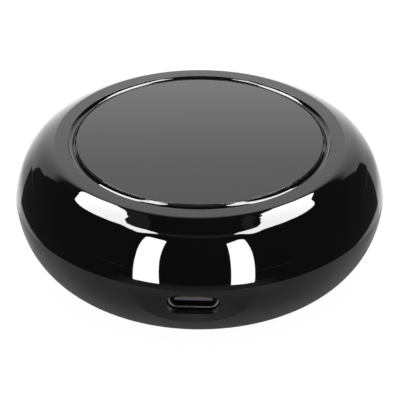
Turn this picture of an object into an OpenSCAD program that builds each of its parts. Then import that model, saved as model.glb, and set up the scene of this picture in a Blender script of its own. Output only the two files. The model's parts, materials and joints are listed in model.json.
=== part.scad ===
// Smart infrared blaster: a round puck with a glossy cover, a matte lower case and a power socket.
// Millimetres. +Z is up, the origin is on the resting surface at the centre, and the socket faces -Y.

/* [Case] */
// Radius of the parting line, where the case is widest
case_r = 34.5; // [33:0.1:36]
// Height of the parting line above the surface
seam_z = 14.6; // [14.2:0.1:15.4]
// Height of the flat rim above the surface
case_h = 24.9; // [24.5:0.1:26.5]
// Width of the shoulder, from the parting line in to the rim
shoulder_w = 7.6; // [7:0.1:8]
// Width of the flat rim
rim_w = 2.45; // [2:0.05:2.6]
// Angle on the shoulder's ellipse where it leaves the parting line
shoulder_start = 15; // [8:1:18]
// Angle on the shoulder's ellipse where it meets the rim
shoulder_end = 84; // [78:1:88]
// Width of the belly, from the parting line in to the flat underside
belly_w = 11.1; // [10.3:0.1:11.7]
// Thickness of both shells
wall_t = 2.2; // [2:0.1:2.4]

/* [Top disc] */
// Depth of the groove below the rim
groove_d = 0.5; // [0.45:0.05:0.6]
// Width of the groove, from the rim to the ridge round the disc
groove_w = 1.34; // [1.2:0.02:1.6]
// Gap between the ridge and the disc
disc_gap = 0.22; // [0.2:0.02:0.4]
// Thickness of the disc
disc_t = 1.2; // [1:0.1:1.5]
// Thickness of the film under the disc
disc_film_t = 0.15; // [0.1:0.05:0.2]
// Thickness of the cover under the disc's pocket
crown_t = 1.6; // [1.3:0.1:1.9]

/* [Parting line] */
// Height of the lip that the lower case has inside the cover
lip_h = 1.4; // [1:0.1:1.8]
// Thickness of the lip
lip_t = 0.8; // [0.6:0.05:1]
// Clearance between the lip and the cover
lip_gap = 0.12; // [0.08:0.02:0.2]

/* [Front flat spot] */
// Depth of the flat spot behind the widest circle
spot_depth = 2.0; // [1.7:0.1:2.3]
// Radius of the round outline of the flat spot
spot_r = 13; // [12:0.5:14]
// Height of case left between the flat spot and the parting line
spot_brow = 0.65; // [0.5:0.05:1]
// Thickness of the pad behind the flat spot
pad_t = 2.5; // [2.3:0.1:2.8]

/* [Power socket] */
// Width of the socket's metal shell
socket_w = 8.94; // [8.8:0.02:9.1]
// Height of the socket's metal shell
socket_h = 3.26; // [3.2:0.02:3.4]
// Length of the socket's metal shell
socket_len = 7.35; // [7:0.05:7.6]
// Thickness of the shell's sheet metal
socket_sheet = 0.3; // [0.25:0.01:0.35]
// Height of the socket's centre above the surface
socket_z = 10.25; // [10:0.05:10.6]
// Depth of the shell's mouth behind the flat spot
socket_recess = 1.6; // [1.3:0.1:1.9]
// Gap between the shell and the slot in the case
socket_gap = 0.26; // [0.2:0.02:0.3]
// Width of the tongue
tongue_w = 6.69; // [6.5:0.01:6.8]
// Thickness of the tongue
tongue_t = 0.7; // [0.6:0.02:0.8]
// Depth of the tongue's tip behind the shell's mouth
tongue_recess = 0.15; // [0.1:0.05:0.3]

/* [Foot] */
// How far the rubber foot stands below the case
foot_proud = 0.5; // [0.4:0.05:0.7]
// Distance of the foot from the edge of the flat underside
foot_margin = 2; // [1.6:0.1:2.4]
// Width of the foot's ring
foot_w = 6; // [5.6:0.1:6.4]
// Depth of the groove that holds the foot
foot_groove_d = 0.8; // [0.7:0.05:0.95]
// Thickness of the foot's film
foot_film_t = 0.2; // [0.1:0.05:0.3]

/* [Board] */
// Thickness of the main board
board_t = 1.6; // [1.4:0.1:1.7]
// Gap between the board's edge and the case
board_gap = 0.7; // [0.5:0.1:1]

/* [Screws] */
// Radius of a case screw's shank
screw_r = 1; // [0.9:0.05:1.1]
// Length of a case screw's shank
screw_len = 11.5; // [10:0.5:12]
// Radius of a case screw's head
screw_head_r = 1.9; // [1.8:0.05:2]
// Height of a case screw's head
screw_head_h = 1.2; // [1:0.1:1.3]

/* [Infrared emitters] */
// Radius of an emitter's body
emitter_r = 2.5; // [2.3:0.05:2.6]
// Length of an emitter from flange to tip
emitter_len = 8.6; // [8:0.1:8.9]
// Gap between an outward emitter's flange and the cover's ceiling
emitter_top_gap = 1.4; // [1.2:0.1:2]
// Gap between an outward emitter's tip and the cover's wall
emitter_gap = 1.2; // [1:0.1:1.6]
// Gap between the upward emitter's tip and the cover's ceiling
up_emitter_gap = 0.45; // [0.3:0.05:2]

/* [Reset button] */
// Travel of the push switch
switch_travel = 0.25; // [0.2:0.01:0.3]
// Radius of the button's plunger
button_r = 1.6; // [1.4:0.1:1.8]
// Distance of the button's centre from the foot's inner edge
button_inset = 6.4; // [5.9:0.1:7.4]

/* [Hidden] */
$fn = 96;
// Overrun of every cut, and bite of every joined piece
overrun = 0.4;
// Steps of an arc in an outline
arc_steps = 22;
// Gap between pieces that bear on each other and move together
touch = 0.04;

// Rings of the outline, worked inwards from the parting line
rim_outer_r = case_r - shoulder_w;
base_flat_r = case_r - belly_w;
foot_outer_r = base_flat_r - foot_margin;
foot_inner_r = foot_outer_r - foot_w;

// Elliptic outline of the shoulder
shoulder_b = (case_h - seam_z) / (sin(shoulder_end) - sin(shoulder_start));
shoulder_a = shoulder_w / (cos(shoulder_start) - cos(shoulder_end));
shoulder_x = case_r - shoulder_a * cos(shoulder_start);
shoulder_z = seam_z - shoulder_b * sin(shoulder_start);

// Elliptic outline of the belly
belly_a = belly_w;
belly_b = seam_z - foot_proud;
floor_z = foot_proud + wall_t;

// Levels of the top
rim_inner_r = rim_outer_r - rim_w;
rim_dish = 0.05;
ridge_w = 0.04;
ridge_r = rim_inner_r - groove_w;
pocket_r = ridge_r - ridge_w;
disc_r = pocket_r - disc_gap;
disc_edge = 0.06;
groove_z = case_h - groove_d;
ridge_flank_w = 0.4;
rim_flank_w = 0.34;
flank_h = 0.37;
hollow_steps = 8;
pocket_z = case_h - disc_t - disc_film_t;
ceiling_z = pocket_z - crown_t;
film_inset = 1.2;
rebate_z = seam_z + lip_h + lip_gap;
rebate_r = case_r - wall_t + lip_t + lip_gap;

// Levels of the board
board_top = socket_z - socket_h / 2;
board_z = board_top - board_t;
board_r = belly_inner_r(board_z) - board_gap;
board_front_gap = 0.8;

// Flat spot and socket
spot_y = case_r - spot_depth;
spot_z = seam_z - spot_brow - spot_r;
pad_w = 20.8;
pad_drop = 3.4;
pad_y = spot_y - pad_t;
socket_y = spot_y - socket_recess;
slot_w = socket_w + 2 * socket_gap;
slot_h = socket_h + 2 * socket_gap;
socket_block_len = 2.4;
socket_block_gap = 0.05;
tongue_len = socket_len - socket_block_len - tongue_recess;
tongue_nose = 0.15;
contact_count = 12;
contact_w = 0.25;
contact_t = 0.06;
contact_inset = 0.35;
contact_len = tongue_len - 2 * contact_inset;
contact_pitch = 0.5;
socket_leg_w = 1.2;
socket_leg_out = 0.5;
socket_leg_front = 2.9;
socket_leg_back = 6;
socket_leg_places = [socket_leg_front, socket_leg_back];
leg_gap = 0.12;

// Foot
foot_fit = 0.1;
foot_groove_z = foot_proud + foot_groove_d;
label_r = foot_inner_r - 1.2;
label_d = 0.25;

// Screws, posts and bosses
screw_angles = [30, 150, 270];
screw_ring_r = (foot_outer_r + foot_inner_r) / 2;
screw_sink = 0.2;
screw_seat_z = foot_groove_z + screw_sink + screw_head_h;
screw_tip_h = 1.5;
screw_tip_share = 0.35;
head_gap = 0.15;
shank_gap = 0.15;
thread_gap = 0.05;
post_wall = 1.1;
post_r = screw_head_r + head_gap + post_wall;
boss_r = 2.7;
pilot_spare = 1;
cross_w = 0.45;
cross_len = 2.2;
cross_d = 0.7;

// Emitters and their leads
emitter_count = 6;
flange_r = emitter_r + 0.4;
flange_t = 1;
emitter_z = ceiling_z - emitter_top_gap - flange_r;
emitter_tip_r = shoulder_inner_r(emitter_z + emitter_r) - emitter_gap;
emitter_back_r = emitter_tip_r - emitter_len;
lead_t = 0.5;
lead_pitch = 2.54;
lead_run = 0.8;
lead_out = 1;
lead_hole_r = 0.45;
lead_r = emitter_back_r - lead_run + lead_t / 2;
up_emitter_y = -2.2;
up_emitter_z = ceiling_z - up_emitter_gap - emitter_len;

// Radio module
radio_w = 15;
radio_len = 17.3;
radio_t = 0.8;
radio_margin = 0.9;
radio_end_y = sqrt(pow(board_r, 2) - pow(radio_w / 2, 2)) - radio_margin;
shield_w = 12.2;
shield_h = 2.4;
shield_sheet = 0.2;
shield_inset = 1;
shield_gap = 0.6;
chip_w = 5;
chip_h = 0.9;
trace_t = 0.1;
trace_w = 0.6;
antenna_legs = 6;
antenna_pitch = 2.2;
antenna_len = 4.4;
antenna_edge = 0.8;
shield_len = radio_len - shield_inset - shield_gap - antenna_len - antenna_edge;

// Receiver
receiver_w = 5.6;
receiver_d = 3.2;
receiver_h = 7;
receiver_lens_r = 1.9;
receiver_lens_share = 0.6;
receiver_top_gap = 1.5;
receiver_z = ceiling_z - receiver_top_gap - receiver_h;
receiver_angle = 330;
receiver_r = board_r - 4.6;

// Status light
status_angle = 210;
status_r = board_r - 5;
status_w = 3.2;
status_d = 2.8;
status_h = 1.9;
status_window_r = 1.2;
status_window_d = 0.5;

// Push switch, from the board's underside down
switch_w = 5.2;
switch_h = 1.6;
switch_sheet = 0.2;
well_r = 1.9;
dome_r = 1.75;
dome_spare = 0.35;
dome_h = switch_travel + dome_spare;
dome_t = 0.1;
dome_gap = 0.11;
dome_steps = 8;
stem_r = 1.05;
stem_gap = 0.08;
stem_flange_r = 1.6;
stem_flange_t = 0.35;
stem_spare = 0.45;
stem_out = switch_travel + stem_spare;
well_d = touch + stem_flange_t + dome_gap + dome_h + dome_t;
ear_w = 2;
ear_gap = 0.05;
terminal_w = 0.7;
terminal_t = 0.2;
terminal_share = 0.3;
switch_z = board_z - switch_h;
stem_z = switch_z - switch_sheet - stem_out;
button_y = foot_inner_r - button_inset;

// Button
button_gap = 0.08;
button_sink = 0.5;
button_flange_r = button_r + 1;
button_flange_t = 0.6;
button_rest = 0.1;
button_post_r = 1.2;

// Supply and drivers, with places as shares of the board's radius
capacitor_r = 3.15;
capacitor_h = 5.4;
capacitor_base_w = 6.6;
capacitor_base_h = 0.8;
capacitor_lip_r = 2.6;
capacitor_lip_d = 0.2;
capacitor_place_share = [-0.43, -0.14];
regulator_w = 3.5;
regulator_len = 6.5;
regulator_h = 1.6;
regulator_tab_w = 3;
regulator_leg_w = 0.75;
regulator_leg_pitch = 2.3;
regulator_leg_out = 1.6;
regulator_place_share = [0.43, -0.14];
leg_t = 0.15;
transistor_count = 3;
transistor_w = 2.9;
transistor_d = 1.3;
transistor_h = 1;
transistor_pitch = 5;
transistor_leg_w = 0.45;
transistor_leg_out = 0.6;
transistor_leg_pitch = 1.9;
transistor_place_share = -0.22;
chip_len = 1.6;
chip_d = 0.8;
chip_end = 0.3;
resistor_h = 0.45;
resistor_count = 9;
chip_pitch = 1.9;
chip_row_place_share = -0.34;
ceramic_h = 0.8;
ceramic_count = 3;
ceramic_gap = 2;

// Points on an ellipse about (x, z), as radius and height
function arc_points(x, z, a, b, from, to) =
    [for (i = [0:arc_steps]) let (t = from + (to - from) * i / arc_steps) [x + a * cos(t), z + b * sin(t)]];

// Hollow bottom of the groove, from its rim side to its ridge side, as radius and height
function groove_points() =
    let (from = rim_inner_r - rim_flank_w, to = ridge_r + ridge_flank_w)
    [for (i = [0:hollow_steps]) let (side = 1 - 2 * i / hollow_steps)
        [(from + to) / 2 + side * (from - to) / 2, groove_z + (groove_d - flank_h) * pow(side, 2)]];

// Inner radius of the upper cover at height z
function shoulder_inner_r(z) =
    shoulder_x + (shoulder_a - wall_t) * sqrt(1 - pow((z - shoulder_z) / (shoulder_b - wall_t), 2));

// Angle of the cover's inner ellipse at height z
function shoulder_inner_angle(z) = asin((z - shoulder_z) / (shoulder_b - wall_t));

// Inner radius of the lower case at height z
function belly_inner_r(z) =
    base_flat_r + (belly_a - wall_t) * sqrt(1 - pow((seam_z - z) / (belly_b - wall_t), 2));

// Places its children at a radius and an angle about the centre, with +X pointing outwards
module around(angle, r = 0) {
    rotate([0, 0, angle])
        translate([r, 0, 0])
            children();
}

// Box centred on X and Y, standing on z
module box(w, d, h, z = 0) {
    translate([-w / 2, -d / 2, z])
        cube([w, d, h]);
}

// Rounded slot or bar along Y, from y1 to y2, centred on the socket's axis
module socket_bar(w, h, y1, y2) {
    translate([0, y2, socket_z])
        rotate([90, 0, 0])
            linear_extrude(y2 - y1) {
                square([w - h, h], center = true);
                for (side = [-1, 1])
                    translate([side * (w - h) / 2, 0])
                        circle(d = h);
            }
}

module ring(r_out, r_in, z1, z2) {
    translate([0, 0, z1])
        difference() {
            cylinder(r = r_out, h = z2 - z1);
            translate([0, 0, -overrun])
                cylinder(r = r_in, h = z2 - z1 + 2 * overrun);
        }
}

// Glossy infrared-pass cover with its dished rim, groove, ridge, disc pocket and three screw bosses
module upper_cover() {
    color([0.03, 0.03, 0.035])
    difference() {
        union() {
            rotate_extrude()
                polygon(concat(
                    arc_points(shoulder_x, shoulder_z, shoulder_a, shoulder_b,
                               shoulder_start, shoulder_end),
                    [[rim_inner_r, case_h - rim_dish]],
                    groove_points(),
                    [[ridge_r, case_h],
                     [pocket_r, case_h],
                     [pocket_r, pocket_z],
                     [0, pocket_z],
                     [0, ceiling_z]],
                    arc_points(shoulder_x, shoulder_z, shoulder_a - wall_t, shoulder_b - wall_t,
                               shoulder_inner_angle(ceiling_z), shoulder_inner_angle(rebate_z)),
                    [[rebate_r, rebate_z],
                     [rebate_r, seam_z]]));
            for (angle = screw_angles)
                around(angle, screw_ring_r)
                    translate([0, 0, board_top])
                        cylinder(r = boss_r, h = ceiling_z - board_top + overrun);
        }
        for (angle = screw_angles)
            around(angle, screw_ring_r)
                translate([0, 0, board_top - overrun])
                    cylinder(r = screw_r + thread_gap,
                             h = screw_seat_z + screw_len + pilot_spare - board_top + overrun);
    }
}

// Flat disc in the pocket, flush with the rim
module top_disc() {
    z = pocket_z + disc_film_t;
    color([0.2, 0.2, 0.21])
    rotate_extrude()
        polygon([[0, z],
                 [disc_r, z],
                 [disc_r, case_h - disc_edge],
                 [disc_r - disc_edge, case_h],
                 [0, case_h]]);
}

module top_disc_adhesive() {
    color([0.85, 0.83, 0.75])
    translate([0, 0, pocket_z])
        cylinder(r = disc_r - film_inset, h = disc_film_t);
}

// Matte lower shell with its lip, posts, front flat spot, slot, foot groove and button hole
module lower_case() {
    color([0.1, 0.1, 0.105])
    difference() {
        union() {
            rotate_extrude()
                polygon(concat(
                    arc_points(base_flat_r, seam_z, belly_a, belly_b, 0, -90),
                    [[0, foot_proud],
                     [0, floor_z]],
                    arc_points(base_flat_r, seam_z, belly_a - wall_t, belly_b - wall_t, -90, 0),
                    [[case_r - wall_t, seam_z + lip_h],
                     [case_r - wall_t + lip_t, seam_z + lip_h],
                     [case_r - wall_t + lip_t, seam_z]]));
            intersection() {
                rotate_extrude()
                    polygon(concat(
                        arc_points(base_flat_r, seam_z, belly_a - wall_t / 2, belly_b - wall_t / 2, 0, -90),
                        [[0, foot_proud + wall_t / 2],
                         [0, seam_z]]));
                translate([-pad_w / 2, -case_r, socket_z - pad_drop])
                    cube([pad_w, case_r - pad_y, seam_z - socket_z + pad_drop]);
            }
            for (angle = screw_angles)
                around(angle, screw_ring_r)
                    translate([0, 0, floor_z - overrun])
                        cylinder(r = post_r, h = board_z - floor_z + overrun);
        }
        // Flat spot with its round outline, and the slot for the socket
        translate([0, -spot_y, spot_z])
            rotate([90, 0, 0])
                cylinder(r = spot_r, h = spot_depth + overrun);
        socket_bar(slot_w, slot_h, -case_r, -pad_y + overrun);
        // Screw holes and the seats for the heads
        for (angle = screw_angles)
            around(angle, screw_ring_r) {
                translate([0, 0, foot_proud])
                    cylinder(r = screw_head_r + head_gap, h = screw_seat_z - foot_proud);
                translate([0, 0, foot_proud])
                    cylinder(r = screw_r + shank_gap, h = board_z - foot_proud + overrun);
            }
        // Groove for the foot and the bare recess inside it
        ring(foot_outer_r + foot_fit, foot_inner_r - foot_fit, foot_proud - overrun, foot_groove_z);
        translate([0, 0, foot_proud - overrun])
            cylinder(r = label_r, h = label_d + overrun);
        // Button hole
        translate([0, button_y, foot_proud])
            cylinder(r = button_r + button_gap, h = wall_t + overrun);
    }
}

// Rubber foot, which hides the screws
module foot_ring() {
    color([0.14, 0.14, 0.14])
    ring(foot_outer_r, foot_inner_r, 0, foot_groove_z - foot_film_t);
}

module foot_adhesive() {
    color([0.85, 0.83, 0.75])
    ring(foot_outer_r - foot_fit, foot_inner_r + foot_fit, foot_groove_z - foot_film_t, foot_groove_z);
}

// One self-tapping screw with a cross recess, driven upwards
module case_screw() {
    head_z = screw_seat_z - screw_head_h;
    difference() {
        union() {
            translate([0, 0, head_z])
                cylinder(r = screw_head_r, h = screw_head_h);
            translate([0, 0, screw_seat_z - overrun])
                cylinder(r = screw_r, h = screw_len - screw_tip_h + overrun);
            translate([0, 0, screw_seat_z + screw_len - screw_tip_h])
                cylinder(r1 = screw_r, r2 = screw_r * screw_tip_share, h = screw_tip_h);
        }
        for (turn = [0, 90])
            rotate([0, 0, turn])
                box(cross_len, cross_w, cross_d + overrun, head_z - overrun);
    }
}

module case_screws() {
    color([0.75, 0.75, 0.77])
    for (angle = screw_angles)
        around(angle, screw_ring_r)
            case_screw();
}

// Two lead holes or leads, either side of the middle
module lead_pair() {
    for (side = [-1, 1])
        translate([0, side * lead_pitch / 2, 0])
            children();
}

// Round board with a flat front edge and holes for every lead, leg and screw
module main_board() {
    hole_z = board_z - overrun;
    hole_h = board_t + 2 * overrun;
    color([0.03, 0.24, 0.12])
    difference() {
        translate([0, 0, board_z])
            cylinder(r = board_r, h = board_t);
        translate([-board_r, -board_r - pad_y + board_front_gap - board_r, hole_z])
            cube([2 * board_r, 2 * board_r, hole_h]);
        for (angle = screw_angles)
            around(angle, screw_ring_r)
                translate([0, 0, hole_z])
                    cylinder(r = screw_r + shank_gap, h = hole_h);
        for (i = [1:emitter_count])
            around(emitter_angle(i), lead_r)
                lead_pair()
                    translate([0, 0, hole_z])
                        cylinder(r = lead_hole_r, h = hole_h);
        translate([0, up_emitter_y, 0])
            lead_pair()
                translate([0, 0, hole_z])
                    cylinder(r = lead_hole_r, h = hole_h);
        around(receiver_angle, receiver_r)
            for (i = [-1:1])
                translate([0, i * lead_pitch, hole_z])
                    cylinder(r = lead_hole_r, h = hole_h);
        socket_legs(leg_gap, hole_z, board_top + overrun);
    }
}

// Four mounting legs of the socket's shell, or the slots for them, grown by a gap
module socket_legs(gap, z1, z2) {
    for (side = [-1, 1], place = socket_leg_places)
        translate([side * (socket_w - socket_sheet) / 2, -socket_y + place, z1])
            box(socket_sheet + 2 * gap, socket_leg_w + 2 * gap, z2 - z1);
}

// Metal shell of the socket
module socket_shell() {
    inset = 2 * socket_sheet;
    back_y = -socket_y + socket_len;
    color([0.78, 0.78, 0.8]) {
        difference() {
            socket_bar(socket_w, socket_h, -socket_y, back_y);
            socket_bar(socket_w - inset, socket_h - inset, -socket_y - overrun, back_y + overrun);
        }
        socket_legs(0, board_z - socket_leg_out, socket_z);
    }
}

// Moulded tongue with the block that carries it
module socket_tongue() {
    inset = 2 * (socket_sheet + socket_block_gap);
    back_y = -socket_y + socket_len;
    color([0.06, 0.06, 0.06]) {
        socket_bar(socket_w - inset, socket_h - inset, back_y - socket_block_len, back_y);
        translate([-tongue_w / 2, -socket_y + tongue_recess, socket_z])
            rotate([90, 0, 90])
                linear_extrude(tongue_w)
                    polygon([[tongue_len + overrun, tongue_t / 2],
                             [tongue_nose, tongue_t / 2],
                             [0, tongue_t / 2 - tongue_nose],
                             [0, tongue_nose - tongue_t / 2],
                             [tongue_nose, -tongue_t / 2],
                             [tongue_len + overrun, -tongue_t / 2]]);
    }
}

// Contacts on both faces of the tongue
module socket_contacts() {
    first_x = -((contact_count - 1) * contact_pitch + contact_w) / 2;
    front_y = -socket_y + tongue_recess + contact_inset;
    color([0.83, 0.68, 0.3])
    for (i = [0:contact_count - 1], z = [socket_z + tongue_t / 2, socket_z - tongue_t / 2 - contact_t])
        translate([first_x + i * contact_pitch, front_y, z])
            cube([contact_w, contact_len, contact_t]);
}

module radio_board() {
    color([0.05, 0.09, 0.2])
    translate([-radio_w / 2, radio_end_y - radio_len, board_top])
        cube([radio_w, radio_len, radio_t]);
}

module radio_chip() {
    color([0.08, 0.08, 0.08])
    translate([0, radio_end_y - radio_len + shield_inset + shield_len / 2, board_top + radio_t])
        box(chip_w, chip_w, chip_h);
}

// Pressed can over the radio's chip
module radio_shield() {
    color([0.75, 0.75, 0.76])
    translate([0, radio_end_y - radio_len + shield_inset + shield_len / 2, board_top + radio_t])
        difference() {
            box(shield_w, shield_len, shield_h);
            box(shield_w - 2 * shield_sheet, shield_len - 2 * shield_sheet,
                shield_h - shield_sheet + overrun, -overrun);
        }
}

// Zigzag trace at the module's outer end
module radio_antenna() {
    far_y = radio_end_y - antenna_edge;
    near_y = far_y - antenna_len;
    first_x = -(antenna_legs - 1) * antenna_pitch / 2;
    color([0.8, 0.6, 0.3])
    for (i = [0:antenna_legs - 1]) {
        x = first_x + i * antenna_pitch;
        translate([x - trace_w / 2, near_y, board_top + radio_t])
            cube([trace_w, antenna_len, trace_t]);
        if (i < antenna_legs - 1)
            translate([x - trace_w / 2, (i % 2 == 0) ? far_y - trace_w : near_y, board_top + radio_t])
                cube([antenna_pitch + trace_w, trace_w, trace_t]);
    }
}

function emitter_angle(i) = (i - 1) * 360 / emitter_count;

// Clear body of one emitter, from its flange at z = 0 to its domed tip
module emitter_body() {
    color([0.62, 0.7, 0.9, 0.8])
    rotate_extrude()
        polygon(concat(
            [[0, 0],
             [flange_r, 0],
             [flange_r, flange_t],
             [emitter_r, flange_t]],
            arc_points(0, emitter_len - emitter_r, emitter_r, emitter_r, 0, 90)));
}

// Emitter 1 to emitter_count point outwards, and the last one points up
module ir_emitter(i) {
    if (i <= emitter_count)
        around(emitter_angle(i), emitter_back_r)
            translate([0, 0, emitter_z])
                rotate([0, 90, 0])
                    emitter_body();
    else
        translate([0, up_emitter_y, up_emitter_z])
            emitter_body();
}

// Square legs of every emitter, bent down into the board
module emitter_leads() {
    end_z = board_z - lead_out;
    color([0.8, 0.8, 0.8]) {
        for (i = [1:emitter_count])
            around(emitter_angle(i))
                lead_pair() {
                    translate([lead_r, 0, 0])
                        box(lead_t, lead_t, emitter_z + lead_t / 2 - end_z, end_z);
                    translate([lead_r - lead_t / 2, -lead_t / 2, emitter_z - lead_t / 2])
                        cube([emitter_back_r - lead_r + lead_t / 2, lead_t, lead_t]);
                }
        translate([0, up_emitter_y, 0])
            lead_pair()
                box(lead_t, lead_t, up_emitter_z - end_z, end_z);
    }
}

// Remote-control receiver with its lens, standing on three leads
module ir_receiver() {
    color([0.07, 0.07, 0.08])
    around(receiver_angle, receiver_r) {
        box(receiver_d, receiver_w, receiver_h, receiver_z);
        translate([receiver_d / 2, 0, receiver_z + receiver_h * receiver_lens_share])
            sphere(r = receiver_lens_r);
    }
}

module receiver_leads() {
    end_z = board_z - lead_out;
    color([0.8, 0.8, 0.8])
    around(receiver_angle, receiver_r)
        for (i = [-1:1])
            translate([0, i * lead_pitch, 0])
                box(lead_t, lead_t, receiver_z - end_z, end_z);
}

// Surface-mounted light with its round window
module status_led() {
    color([0.9, 0.9, 0.88])
    around(status_angle, status_r)
        difference() {
            box(status_w, status_d, status_h, board_top);
            translate([0, 0, board_top + status_h - status_window_d])
                cylinder(r = status_window_r, h = status_window_d + overrun);
        }
}

// Recessed plunger, held in by its flange
module reset_button() {
    bottom_z = foot_proud + button_sink;
    flange_z = floor_z + button_rest;
    color([0.3, 0.3, 0.3])
    translate([0, button_y, 0]) {
        translate([0, 0, bottom_z])
            cylinder(r = button_r, h = flange_z + button_flange_t - bottom_z);
        translate([0, 0, flange_z])
            cylinder(r = button_flange_r, h = button_flange_t);
        translate([0, 0, flange_z])
            cylinder(r = button_post_r, h = stem_z - touch - flange_z);
    }
}

// Moulded base of the push switch, open downwards
module reset_switch_base() {
    color([0.1, 0.1, 0.1])
    translate([0, button_y, switch_z])
        difference() {
            box(switch_w, switch_w, switch_h);
            translate([0, 0, -overrun])
                cylinder(r = well_r, h = well_d + overrun);
        }
}

// Snap disc that the stem presses flat
module reset_switch_dome() {
    bend_r = (pow(dome_r, 2) + pow(dome_h, 2)) / (2 * dome_h);
    half = asin(dome_r / bend_r);
    rim_z = switch_z + well_d - dome_t;
    steps = [for (i = [0:dome_steps]) half * i / dome_steps];
    color([0.8, 0.8, 0.8])
    translate([0, button_y, rim_z + bend_r - dome_h])
        rotate_extrude()
            polygon(concat(
                [for (t = steps) [bend_r * sin(t), -bend_r * cos(t)]],
                [for (i = [dome_steps:-1:0])
                    [(bend_r - dome_t) * sin(steps[i]), -(bend_r - dome_t) * cos(steps[i])]]));
}

// Moving stem of the push switch
module reset_switch_stem() {
    flange_z = switch_z + touch;
    color([0.85, 0.85, 0.8])
    translate([0, button_y, 0]) {
        translate([0, 0, stem_z])
            cylinder(r = stem_r, h = flange_z + stem_flange_t - stem_z);
        translate([0, 0, flange_z])
            cylinder(r = stem_flange_r, h = stem_flange_t);
    }
}

// Sheet cover of the push switch, with two ears up its sides
module reset_switch_frame() {
    color([0.72, 0.72, 0.72])
    translate([0, button_y, switch_z - switch_sheet]) {
        difference() {
            box(switch_w + 2 * (switch_sheet + ear_gap), switch_w, switch_sheet);
            translate([0, 0, -overrun])
                cylinder(r = stem_r + stem_gap, h = switch_sheet + 2 * overrun);
        }
        for (side = [-1, 1])
            translate([side * (switch_w / 2 + ear_gap + switch_sheet / 2), 0, 0])
                box(switch_sheet, ear_w, switch_sheet + switch_h);
    }
}

// Four flat terminals against the board's underside
module reset_switch_terminals() {
    reach = (switch_w + terminal_w) / 2;
    color([0.8, 0.8, 0.8])
    for (side = [-1, 1], end = [-1, 1])
        translate([side * switch_w * terminal_share, button_y + end * reach, board_z - terminal_t])
            box(terminal_w, terminal_w, terminal_t);
}

// Places its children at shares of the board's radius
module on_board(share) {
    translate([share[0] * board_r, share[1] * board_r, board_top])
        children();
}

// Can of the supply's big capacitor, with a rolled lip on top
module bulk_capacitor() {
    color([0.78, 0.78, 0.8])
    on_board(capacitor_place_share)
        translate([0, 0, capacitor_base_h])
            difference() {
                cylinder(r = capacitor_r, h = capacitor_h - capacitor_base_h);
                translate([0, 0, capacitor_h - capacitor_base_h - capacitor_lip_d])
                    cylinder(r = capacitor_lip_r, h = capacitor_lip_d + overrun);
            }
}

module bulk_capacitor_base() {
    color([0.08, 0.08, 0.08])
    on_board(capacitor_place_share)
        box(capacitor_base_w, capacitor_base_w, capacitor_base_h);
}

module voltage_regulator() {
    color([0.09, 0.09, 0.09])
    on_board(regulator_place_share)
        box(regulator_w, regulator_len, regulator_h);
}

// Wide tab on one side of the regulator and three legs on the other
module regulator_tab() {
    color([0.8, 0.8, 0.8])
    on_board(regulator_place_share) {
        translate([(regulator_w + regulator_leg_out) / 2, 0, 0])
            box(regulator_leg_out, regulator_tab_w, leg_t);
        for (i = [-1:1])
            translate([-(regulator_w + regulator_leg_out) / 2, i * regulator_leg_pitch, 0])
                box(regulator_leg_out, regulator_leg_w, leg_t);
    }
}

// Places its children at each transistor
module each_transistor() {
    first_x = -(transistor_count - 1) * transistor_pitch / 2;
    for (i = [0:transistor_count - 1])
        translate([first_x + i * transistor_pitch, transistor_place_share * board_r, board_top])
            children();
}

module driver_transistors() {
    color([0.09, 0.09, 0.09])
    each_transistor()
        box(transistor_w, transistor_d, transistor_h);
}

module transistor_legs() {
    reach = (transistor_d + transistor_leg_out) / 2;
    color([0.8, 0.8, 0.8])
    each_transistor() {
        translate([0, reach, 0])
            box(transistor_leg_w, transistor_leg_out, leg_t);
        for (side = [-1, 1])
            translate([side * transistor_leg_pitch / 2, -reach, 0])
                box(transistor_leg_w, transistor_leg_out, leg_t);
    }
}

// Places its children in the row of chip parts, at x, with their length along Y
module in_chip_row(x) {
    translate([x, chip_row_place_share * board_r, board_top])
        children();
}

// Places its children at each resistor, in the middle of the row
module each_resistor() {
    first_x = -(resistor_count - 1) * chip_pitch / 2;
    for (i = [0:resistor_count - 1])
        in_chip_row(first_x + i * chip_pitch)
            children();
}

// Places its children at each ceramic capacitor, at both ends of the row
module each_ceramic() {
    first_x = (resistor_count - 1) * chip_pitch / 2 + ceramic_gap;
    for (side = [-1, 1], i = [0:ceramic_count - 1])
        in_chip_row(side * (first_x + i * chip_pitch))
            children();
}

// Body of one chip part
module chip_middle(h) {
    box(chip_d, chip_len - 2 * chip_end, h);
}

// Pair of end caps of one chip part
module chip_ends(h) {
    for (side = [-1, 1])
        translate([0, side * (chip_len - chip_end) / 2, 0])
            box(chip_d, chip_end, h);
}

module chip_resistors() {
    color([0.1, 0.1, 0.1])
    each_resistor()
        chip_middle(resistor_h);
}

module chip_capacitors() {
    color([0.66, 0.52, 0.38])
    each_ceramic()
        chip_middle(ceramic_h);
}

module chip_terminals() {
    color([0.8, 0.8, 0.8]) {
        each_resistor()
            chip_ends(resistor_h);
        each_ceramic()
            chip_ends(ceramic_h);
    }
}

upper_cover();
top_disc();
top_disc_adhesive();
lower_case();
foot_ring();
foot_adhesive();
case_screws();
main_board();
socket_shell();
socket_tongue();
socket_contacts();
radio_board();
radio_chip();
radio_shield();
radio_antenna();
for (i = [1:emitter_count + 1])
    ir_emitter(i);
emitter_leads();
ir_receiver();
receiver_leads();
status_led();
reset_button();
reset_switch_base();
reset_switch_dome();
reset_switch_stem();
reset_switch_frame();
reset_switch_terminals();
bulk_capacitor();
bulk_capacitor_base();
voltage_regulator();
regulator_tab();
driver_transistors();
transistor_legs();
chip_resistors();
chip_capacitors();
chip_terminals();
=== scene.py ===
"""Looks of a round infrared blaster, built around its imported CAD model.

Lengths in the classes of shapes are millimetres, and meshes are written in metres in the frame of the CAD.
Lengths that shaders read are metres. Angles are degrees unless a line says otherwise.
"""

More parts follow.
